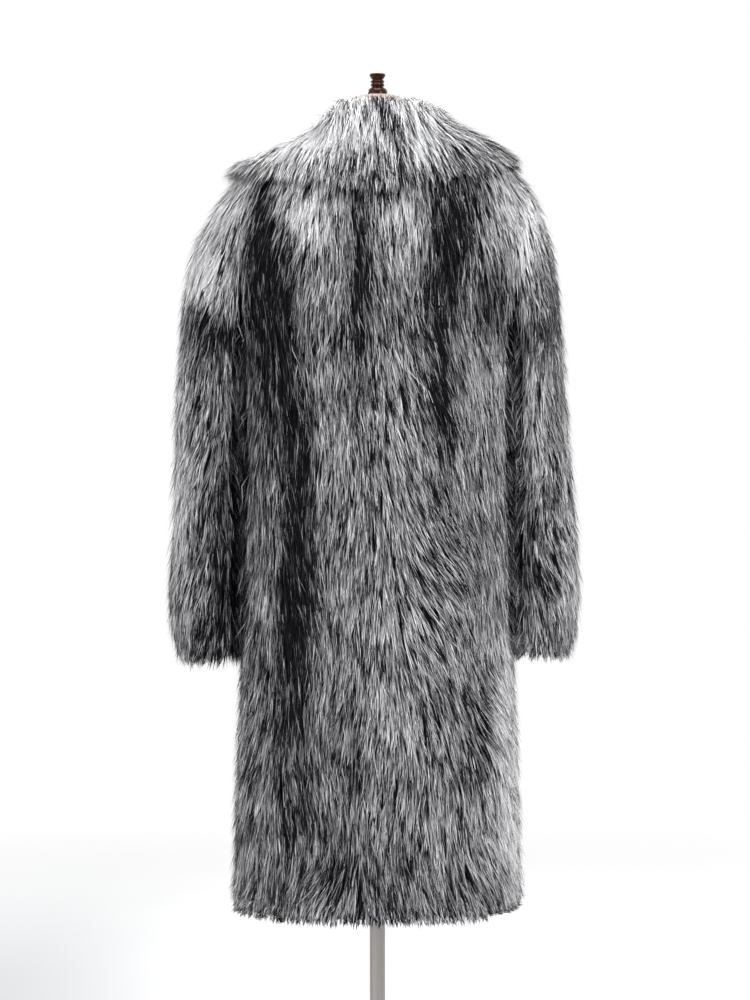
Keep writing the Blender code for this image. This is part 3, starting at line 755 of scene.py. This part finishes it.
def growFur(slot, skin, track, trackTree, steps, cover, rng):
    onCollar = slot == "fur_collar"
    area = skin["areas"].sum()
    count = int(area * 1e4 * fur["strandsPerSquareCm"][slot])
    root, normal = scatter(skin, count, rng)
    lockCount = int(area / fur["lockSpacing"] ** 2 / fur["lockLong"])
    lockRoot, lockNormal = scatter(skin, lockCount, rng)
    lock = nearestLocks(lockRoot, root, onCollar)
    # the whole lock lies one way
    lockTurn = napTurn(lockRoot, lockNormal, slot, smoothWaves(lockRoot, rng, nap["waveLength"]))
    lockTurn += np.radians(fur["lockTurn"]) * spread(rng, lockCount)
    lockWay = rotate(napDirection(lockRoot, lockNormal, slot), lockNormal, lockTurn)
    lockLift, lockLong = rng.random(lockCount), 1 + fur["lockSpread"] * spread(rng, lockCount)
    guard = rng.random(count) < fur["guardShare"][slot]
    times = {key: np.where(guard, value, 1.0) for key, value in fur["guardTimes"].items()}
    way = unit(project(lockWay[lock], normal))
    way = rotate(way, normal, np.radians(fur["strandTurn"]) * rng.normal(size=count) * times["turn"])
    length = fur["length"][slot] * lockLong[lock] * times["length"]
    length *= 1 + fur["lengthSpread"] * spread(rng, count)
    outward = np.ones(count)
    corner = rise(root[:, 0], *collarHair["corner"]) * onCollar
    length *= 1 + collarHair["cornerLength"] * corner
    if onCollar:
        outward = np.sum(unit(root * np.array([1.0, 1.0, 0.0])) * normal, axis=1)
        standing = collarHair["standLength"]
        length *= standing + (1 - standing) * rise(outward, -0.1, 0.7)
    # along the cloth; what would hang too far past an edge is trimmed
    droop = fur["droop"][slot]
    stops, past = followCloth(trackTree, track, root, normal, way, length, steps, droop)
    spare = past - allowedHang(slot, root, corner, rng)
    long = np.nonzero(spare > 0)[0]
    edge, beyondIt, elsewhere = fur["rightEdge"]
    length[long] = np.maximum(length[long] - spare[long], np.where(root[long, 0] < edge, beyondIt, elsewhere))
    again, _ = followCloth(trackTree, track, root[long], normal[long], way[long], length[long], steps, droop)
    for stop, fresh in zip(stops[1:], again[1:]):
        for old, new in zip(stop, fresh):
            old[long] = new
    half, halfNormal = stops[steps // 2][0].copy(), stops[steps // 2][1]
    tip, tipNormal, onward = stops[-1]
    # strands of a lock close up towards each other
    sideways = unit(np.cross(way, normal))
    fromMiddle = np.sum(project(root - lockRoot[lock], normal) * sideways, axis=1)
    offset = sideways * fromMiddle.clip(-fur["lockReach"], fur["lockReach"])[:, None]
    rim = np.clip(np.abs(fromMiddle) / (fur["lockSpacing"] * 0.5), 0, 1.4)
    pull = (fur["lockPull"] * rng.uniform(0.7, 1.15, count) * times["pull"])[:, None]
    tip = tip - project(offset, tipNormal) * pull
    half -= project(offset, halfNormal) * pull * 0.5
    curl = length * fur["curl"] * rng.normal(size=count) * times["curl"]
    tip += unit(np.cross(onward, tipNormal)) * curl[:, None]
    lift = fur["tipLift"][slot] * (0.25 + 0.25 * rng.random(count) + 0.5 * lockLift[lock])
    lift = np.where(guard, rng.uniform(*fur["guardLift"], count), lift - fur["lockSink"] * rim**2)
    if onCollar:
        # low over the fold and towards the neck, and raised along the fringe
        low = np.clip(rise(tipNormal[:, 2], *collarHair["foldSteep"]) + np.clip(0.3 - outward, 0, 1), 0, 1)
        lift = lift * (1 - np.where(guard, 0.0, collarHair["foldLow"]) * low)
        lift += collarHair["edgeLift"] * rise(past, 0, 0.012)
        share, x, halfWidth = collarHair["dip"]
        lift *= 1 - share * bell(root[:, 0], x, halfWidth)
    midLift = lift * 0.45 - 0.0008 + rng.uniform(-0.0008, 0.0012, count)
    if onCollar:
        crest = collarCrest(root)
        midLift, lift = midLift + crest, lift + 0.5 * crest
    keep, beside = np.ones(count, bool), np.zeros(count, bool)
    if cover is not None:
        keep, beside, midLift, lift = fitUnder(cover, root, normal, tip, tipNormal, midLift, lift, rng)
    depth = shell["backingDepth"] + fur["rootDepth"] + creaseDepth(root, normal) * creases["share"]
    start = root - normal * depth[:, None]
    half = half + halfNormal * (midLift - creaseDepth(half, halfNormal))[:, None]
    tip = tip + tipNormal * (lift - creaseDepth(tip, tipNormal))[:, None]
    # a curve through root, half way and tip, read at three places
    places = (0.0, fur["widest"], 1.0)
    shares = [(2 * (t - 0.5) * (t - 1), 4 * t * (1 - t), 2 * t * (t - 0.5)) for t in places]
    centres = np.stack([start * a + half * b + tip * c for a, b, c in shares], axis=1)
    shade = peltShade(slot, root, normal, root + way * (length * markings["readAt"])[:, None], rng)
    tone = strandTones(slot, shade, root, lock, lockCount, rim, past, guard, beside, rng)
    side = unit(np.cross(unit(tip - start), unit(normal + tipNormal)))
    across = rotate(side, unit(tip - start), np.radians(fur["tilt"]) * spread(rng, count))
    width = fur["width"] * (1 + fur["widthSpread"] * spread(rng, count)) * times["width"]
    # over the collar's fold nothing covers the roots, so the painted shade at the root is left off there
    bare = np.clip(0.9 - outward, 0, 1) * onCollar
    strands = {"centres": centres, "across": across, "width": width, "tone": tone, "bare": bare, "root": root}
    return {key: value[keep] for key, value in strands.items()}


def strandMesh(name, strands):
    # two triangles a strand: pointed at root and tip, widest half way
    centres = strands["centres"]
    half = strands["across"] * strands["width"][:, None] / 2
    count = len(centres)
    points = np.stack([centres[:, 0], centres[:, 1] - half, centres[:, 1] + half, centres[:, 2]], axis=1)
    corners = np.array((0, 1, 2, 2, 1, 3))
    loops = corners[None, :] + np.arange(count)[:, None] * 4
    mesh = bpy.data.meshes.new(name)
    mesh.vertices.add(count * 4)
    mesh.loops.add(count * 6)
    mesh.polygons.add(count * 2)
    mesh.vertices.foreach_set("co", points.ravel().astype(np.float32))
    mesh.loops.foreach_set("vertex_index", loops.ravel().astype(np.int32))
    mesh.polygons.foreach_set("loop_start", np.arange(0, count * 6, 3, dtype=np.int32))
    mesh.update(calc_edges=True)
    tone, lean = strands["tone"][:, None], np.array([0, -1, 1, 0])[corners]
    along = np.array([0.0, fur["widest"], fur["widest"], 1.0])[corners][None, :]
    # bare roots read further along the ramp, past the painted shade at the root
    along = along + (1 - along) * strands["bare"][:, None] * furColours["bareRoots"]
    margin = furColours["bakeMargin"]
    for layer, inset, lean in (("Strand", 0, 0), ("OFBake", margin, lean * furColours["bakeLean"])):
        flat = np.empty((count, 6, 2), np.float32)
        flat[:, :, 0] = inset + tone * (1 - 2 * inset) + lean
        flat[:, :, 1] = inset + along * (1 - 2 * inset)
        mesh.uv_layers.new(name=layer).data.foreach_set("uv", flat.ravel())
    mesh.shade_smooth()
    return mesh


furColours = {
    "tones": ((0.0, (0.005, 0.005, 0.006)), (0.25, (0.028, 0.027, 0.032)), (0.5, (0.145, 0.141, 0.155)),
              (0.75, (0.43, 0.425, 0.445)), (1.0, (0.94, 0.94, 0.95))),
    "shares": ((0.0, 0.12), (0.35, 0.42), (0.62, 0.95), (0.8, 1.0), (1.0, 0.90)),  # of its tone from root to tip: the dark root is painted shade among the strands, in part the fur's own darker root
    "bareRoots": 0.55,  # how far bare roots leave out the painted root shade
    "roughness": 0.5,
    "shine": 0.045,
    "bakeMargin": 0.004,
    "bakeLean": 0.0018,  # parts the two sides of a strand
}


def furMaterial(name):
    material, tree, shader = newMaterial(name)
    strand = addNode(tree, "UVMap", uv_map="Strand")
    parts = addNode(tree, "SeparateXYZ")
    tree.links.new(strand.outputs["UV"], parts.inputs["Vector"])
    tone = addRamp(tree, furColours["tones"], parts.outputs["X"])
    shares = [(place, (share,) * 3) for place, share in furColours["shares"]]
    # painted shade: each strand darkens towards its root
    colour = addMix(tree, 1.0, tone, addRamp(tree, shares, parts.outputs["Y"]), "MULTIPLY")
    finishShader(tree, shader, colour, {"Roughness": furColours["roughness"],
                                        "Specular IOR Level": furColours["shine"]})
    return material


rng = np.random.default_rng(fur["seed"])
bodySkins, sleeveSkins = ([outerSkins[n] for n in nodes] for nodes in (bodyNodes, sleeveNodes))
collarSkins = [innerSkins["collar"], outerSkins["collar"]]
bodyTrack = joinSkins(bodySkins + sleeveSkins)
tracks = {key: (skin, treeOf(skin)) for key, skin in (("body", bodyTrack), ("collar", outerSkins["collar"]))}
covers = {
    "fur_body": treeOf(joinSkins(collarSkins + sleeveSkins)),
    "fur_sleeves": treeOf(joinSkins(collarSkins + bodySkins)),
    "fur_collar": None,
}
furMaterials = {slot: furMaterial(slot.replace("fur_", "silver") + "Fur") for slot in covers}
furPieces, furTriangles = {}, 0
for name, (slot, _, furName, _, _) in cloths.items():
    kind = "collar" if name == "collar" else "body"
    strands = growFur(slot, outerSkins[name], *tracks[kind], fur["steps"][kind], covers[slot], rng)
    order = np.argsort(-strands["root"][:, 2])
    parts = math.ceil(len(order) * 2 / fur["mostTriangles"])
    furPieces[name] = []
    for i, chosen in enumerate(np.array_split(order, parts)):
        label = furName + (str(i + 1) if parts > 1 else "")
        mesh = strandMesh(label, {key: value[chosen] for key, value in strands.items()})
        furPieces[name].append(addPiece(label, mesh, (furMaterials[slot],)))
        furTriangles += len(chosen) * 2
    print("fur of", name, len(order), "strands in", parts)
print("fur triangles:", furTriangles)


# dress form and stand

formCloth = {
    "tones": ((0.3, (0.50, 0.41, 0.35)), (0.7, (0.62, 0.52, 0.45))),
    "capTones": ((0.3, (0.42, 0.33, 0.285)), (0.7, (0.50, 0.40, 0.35))),
    "seamColour": (0.175, 0.1435, 0.1225),
    "threads": 900.0,
    "seam": (0.0002, 0.0011),  # from the middle of a seam's line to its edge
    "fill": 1.0,
    "sharpAngle": 55,
    "sharpness": 0.85,
    "joinAngle": 40,
    "shadeAngle": 50,  # edges that turn more stay sharp
}


def formMaterial(name, tones, seams):
    material, tree, shader = newMaterial(name)
    threads = [addPlaced(tree, "TexWave", Scale=formCloth["threads"] / math.tau, Distortion=1.5,
                         Detail=1.0, bands_direction=bands).outputs["Color"] for bands in ("X", "Z")]
    weave = addMix(tree, 0.5, *threads)
    slub = addPlaced(tree, "TexNoise", Scale=38.0, Detail=5.0, Roughness=0.65)
    cloth = addMix(tree, 0.22, addRamp(tree, tones, slub.outputs["Fac"]), weave, "OVERLAY")
    if seams:
        axes = addPlaced(tree, "SeparateXYZ")
        step = addStep(tree, addMath(tree, "ABSOLUTE", axes.outputs["X"]), *formCloth["seam"])
        line = addRamp(tree, ((0.0, formCloth["seamColour"]), (1.0, (1, 1, 1))), step)
        cloth = addMix(tree, 1.0, cloth, line, "MULTIPLY")
    finishShader(tree, shader, cloth, {"Roughness": 0.85, "Sheen Weight": 0.3, "Specular IOR Level": 0.25})
    addBump(tree, weave, 0.35, 0.0004, shader)
    return material


def turned(name, profile, foot, segments, material, node, sharp=35):
    # a lathe-turned piece round the middle axis: radius and height from its foot
    work = bmesh.new()
    rings = []
    for radius, height in profile:
        turns = [2 * math.pi * i / segments for i in range(segments)] if radius else [0.0]
        rings.append([work.verts.new((radius * math.cos(turn), radius * math.sin(turn), foot + height))
                      for turn in turns])
    for upper, lower in zip(rings, rings[1:]):
        for i in range(segments):
            places = (upper, i), (lower, i), (lower, i + 1), (upper, i + 1)
            work.faces.new(list(dict.fromkeys(ring[k % len(ring)] for ring, k in places)))
    bmesh.ops.recalc_face_normals(work, faces=work.faces)
    mesh = bpy.data.meshes.new(name)
    work.to_mesh(mesh)
    work.free()
    mesh.shade_smooth()
    mesh.set_sharp_from_angle(angle=math.radians(sharp))
    return addPiece(name, mesh, (material,), (node,))


def softened(profile, rounds):
    # cuts the corners of a profile
    for _ in range(rounds):
        cut = [profile[0]]
        for (r0, h0), (r1, h1) in zip(profile, profile[1:]):
            cut.append((0.75 * r0 + 0.25 * r1, 0.75 * h0 + 0.25 * h1))
            cut.append((0.25 * r0 + 0.75 * r1, 0.25 * h0 + 0.75 * h1))
        cut.append(profile[-1])
        profile = cut
    return profile


def paddedForm(node, name, material, levels):
    work = wallOf(node)
    makeQuads(work, formCloth["sharpAngle"], formCloth["sharpness"], formCloth["joinAngle"])
    made = smoothMesh(work, name, levels)
    work.free()
    made.shade_smooth()
    made.set_sharp_from_angle(angle=math.radians(formCloth["shadeAngle"]))
    return addPiece(name, made, (material,), (node,))


linen = formMaterial("formLinen", formCloth["tones"], True)
torso = paddedForm("form_torso", "torsoPad", linen, 2)

neckCap = {"radius": 0.054, "foot": 1.4653, "height": 0.0361, "rim": 0.004, "bevel": 0.0006, "flat": 0.0155,
           "steps": 18, "segments": 72}


def capProfile():
    # a dome from the flat under the finial to the upright rim
    radius, bevel = neckCap["radius"], neckCap["bevel"]
    profile = [(0.0, neckCap["height"]), (neckCap["flat"], neckCap["height"])]
    for i in range(1, neckCap["steps"] + 1):
        turn = math.pi / 2 * i / neckCap["steps"]
        profile.append((neckCap["flat"] + (radius - neckCap["flat"]) * math.sin(turn),
                        neckCap["rim"] + (neckCap["height"] - neckCap["rim"]) * math.cos(turn)))
    return profile + [(radius, bevel), (radius - bevel, 0.0), (0.0, 0.0)]


capCloth = formMaterial("capCloth", formCloth["capTones"], False)
cap = turned("neckCap", capProfile(), neckCap["foot"], neckCap["segments"], capCloth,
             "form_neck_cap")

finial = {
    "foot": 1.5017,
    "profile": ((0.0, 0.0302), (0.0112, 0.0300), (0.0120, 0.0288), (0.0104, 0.0258), (0.0082, 0.0224),
                (0.0078, 0.0212), (0.0098, 0.0202), (0.0102, 0.0190), (0.0088, 0.0172), (0.0088, 0.0162),
                (0.0102, 0.0146), (0.0098, 0.0130), (0.0080, 0.0118), (0.0090, 0.0108), (0.0118, 0.0088),
                (0.0138, 0.0060), (0.0149, 0.0032), (0.0151, 0.0010), (0.0145, 0.0), (0.0, 0.0)),
    "rounds": 2,  # of cutting the profile's corners
    "segments": 64,
    "sharp": 60,
    "tones": ((0.35, (0.006, 0.002, 0.002)), (0.7, (0.045, 0.011, 0.007))),
    "look": {"Roughness": 0.12, "Specular Tint": (1.0, 0.70, 0.56, 1.0), "Specular IOR Level": 0.28},
}
wood = grainMaterial("lacqueredWood", (260.0, 260.0, 45.0), finial["tones"], finial["look"], (0.12, 0.0003),
                     Detail=5.0, Distortion=1.2)
turned("finialWood", softened(finial["profile"], finial["rounds"]), finial["foot"], finial["segments"],
       wood, "form_finial", finial["sharp"])

stand = {
    "pole": ((0.0, 0.8514), (0.0106, 0.8514), (0.011, 0.8510), (0.011, 0.3600), (0.0107, 0.3596),
             (0.0107, 0.3588), (0.011, 0.3584), (0.011, 0.0), (0.0, 0.0)),
    "poleFoot": 0.0083,
    "poleSegments": 48,
    "base": ((0.0, 0.008), (0.1740, 0.008), (0.1776, 0.0074), (0.1794, 0.0062), (0.1800, 0.0045),
             (0.1800, 0.0012), (0.1788, 0.0), (0.0, 0.0)),
    "baseSegments": 128,
    "tones": ((0.3, (0.26, 0.25, 0.24)), (0.7, (0.35, 0.33, 0.32))),
    "look": {"Metallic": 1.0, "Roughness": 0.34},
    "brushes": (("brushedPole", (900.0, 900.0, 6.0)), ("brushedBase", (60.0, 60.0, 900.0))),
}
poleSteel, baseSteel = (grainMaterial(name, scale, stand["tones"], stand["look"], (0.12, 0.0002), Detail=4.0,
                                      Roughness=0.7) for name, scale in stand["brushes"])
turned("poleTube", stand["pole"], stand["poleFoot"], stand["poleSegments"], poleSteel,
       "stand_pole")
turned("basePlate", stand["base"], 0.0, stand["baseSegments"], baseSteel, "stand_base")
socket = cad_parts["stand_socket"]
if not socket.material_slots:
    socket.data.materials.append(baseSteel)
for holder in socket.material_slots:
    holder.material = baseSteel
print("form and stand made")

# floor and background

stage = {
    "floorRadius": 6.0,
    "floorColour": (0.76, 0.76, 0.765),
    "floorShade": (0.7372, 0.7372, 0.74205),
    "fade": (1.6, 4.2),  # metres off the middle over which the floor turns white
    "paintedFloorShade": (0.775, 0.785, 0.795),  # painted shade: a grey glow over the floor beyond the coat, towards +X
    "paintedShadeSides": (("X", 0.15, 0.75), ("Y", -4.3, -1.0), ("Y", -0.5, -1.22), ("X", 2.8, 1.4)),
    "air": 0.40,  # strength of the light from all round
}


def buildFloor():
    work = bmesh.new()
    bmesh.ops.create_circle(work, cap_ends=True, segments=96, radius=stage["floorRadius"])
    mesh = bpy.data.meshes.new("studioFloor")
    work.to_mesh(mesh)
    work.free()
    floor = bpy.data.objects.new("studioFloor", mesh)
    floor.location.z = -0.0005
    scene.collection.objects.link(floor)
    material, tree, shader = newMaterial("paleFloor")
    speck = addPlaced(tree, "TexNoise", Scale=3.0, Detail=3.0)
    tone = addRamp(tree, ((0.3, stage["floorShade"]), (0.7, stage["floorColour"])), speck.outputs["Fac"])
    finishShader(tree, shader, tone, {"Roughness": 0.7})
    white = addNode(tree, "Emission", Color=(1, 1, 1, 1), Strength=1.0)
    far = addPlaced(tree, "VectorMath", operation="LENGTH")
    fade = addStep(tree, far.outputs["Value"], *stage["fade"])
    bright = mixShaders(tree, fade, shader.outputs["BSDF"], white.outputs["Emission"])
    # painted shade: a flat grey glow takes over the floor beyond the coat towards +X
    axes = addPlaced(tree, "SeparateXYZ")
    shares = [addStep(tree, axes.outputs[axis], low, high) for axis, low, high in stage["paintedShadeSides"]]
    share = shares[0]
    for other in shares[1:]:
        share = addMath(tree, "MULTIPLY", share, other)
    shadeGlow = addNode(tree, "Emission", Color=(*stage["paintedFloorShade"], 1), Strength=1.0)
    whole = mixShaders(tree, share, bright, shadeGlow.outputs["Emission"])
    tree.links.new(whole, tree.nodes["Material Output"].inputs["Surface"])
    mesh.materials.append(material)


def buildWorld():
    world = bpy.data.worlds.new("studioAir")
    scene.world = world
    world.use_nodes = True
    tree = world.node_tree
    air = tree.nodes["Background"]
    air.inputs["Color"].default_value = (1, 1, 1, 1)
    air.inputs["Strength"].default_value = stage["air"]
    seen = addNode(tree, "Background", Color=(1, 1, 1, 1), Strength=1.0)
    ray = addNode(tree, "LightPath")
    both = addMath(tree, "MAXIMUM", ray.outputs["Is Camera Ray"], ray.outputs["Is Glossy Ray"])
    whole = mixShaders(tree, both, air.outputs["Background"], seen.outputs["Background"])
    tree.links.new(whole, tree.nodes["World Output"].inputs["Surface"])


lamps = {
    "columns": ("name", "place", "size", "power"),
    "rows": (
        ("keyBehind", (-2.2, 3.0, 2.9), 1.6, 98),
        ("fillBehind", (2.8, 2.8, 1.8), 2.2, 64),
        ("overhead", (0.0, 0.3, 3.7), 2.0, 45),
        ("frontLeft", (2.4, -3.0, 2.4), 1.8, 100),
        ("frontRight", (-2.6, -2.8, 1.9), 2.0, 75),
    ),
    "aim": (0.0, 0.0, 0.95),
}


def buildLamps():
    for row in lamps["rows"]:
        lamp = dict(zip(lamps["columns"], row))
        data = bpy.data.lights.new(lamp["name"], "AREA")
        data.shape, data.size, data.energy = "DISK", lamp["size"], lamp["power"]
        light = bpy.data.objects.new(lamp["name"], data)
        light.location = lamp["place"]
        light.rotation_euler = (Vector(lamps["aim"]) - light.location).to_track_quat("-Z", "Y").to_euler()
        scene.collection.objects.link(light)


view = {"place": (0.0035, 4.0, 0.931), "sensor": 24.0, "seen": 1.41}  # metres seen from top to bottom


def buildCamera():
    data = bpy.data.cameras.new("backView")
    data.sensor_fit, data.sensor_height = "VERTICAL", view["sensor"]
    data.lens = view["sensor"] * view["place"][1] / view["seen"]
    camera = bpy.data.objects.new("backView", data)
    camera.location = view["place"]
    camera.rotation_euler = (math.radians(90), 0, math.radians(180))
    scene.collection.objects.link(camera)
    scene.camera = camera


buildFloor()
buildWorld()
buildLamps()
buildCamera()
print("floor, light and camera set")
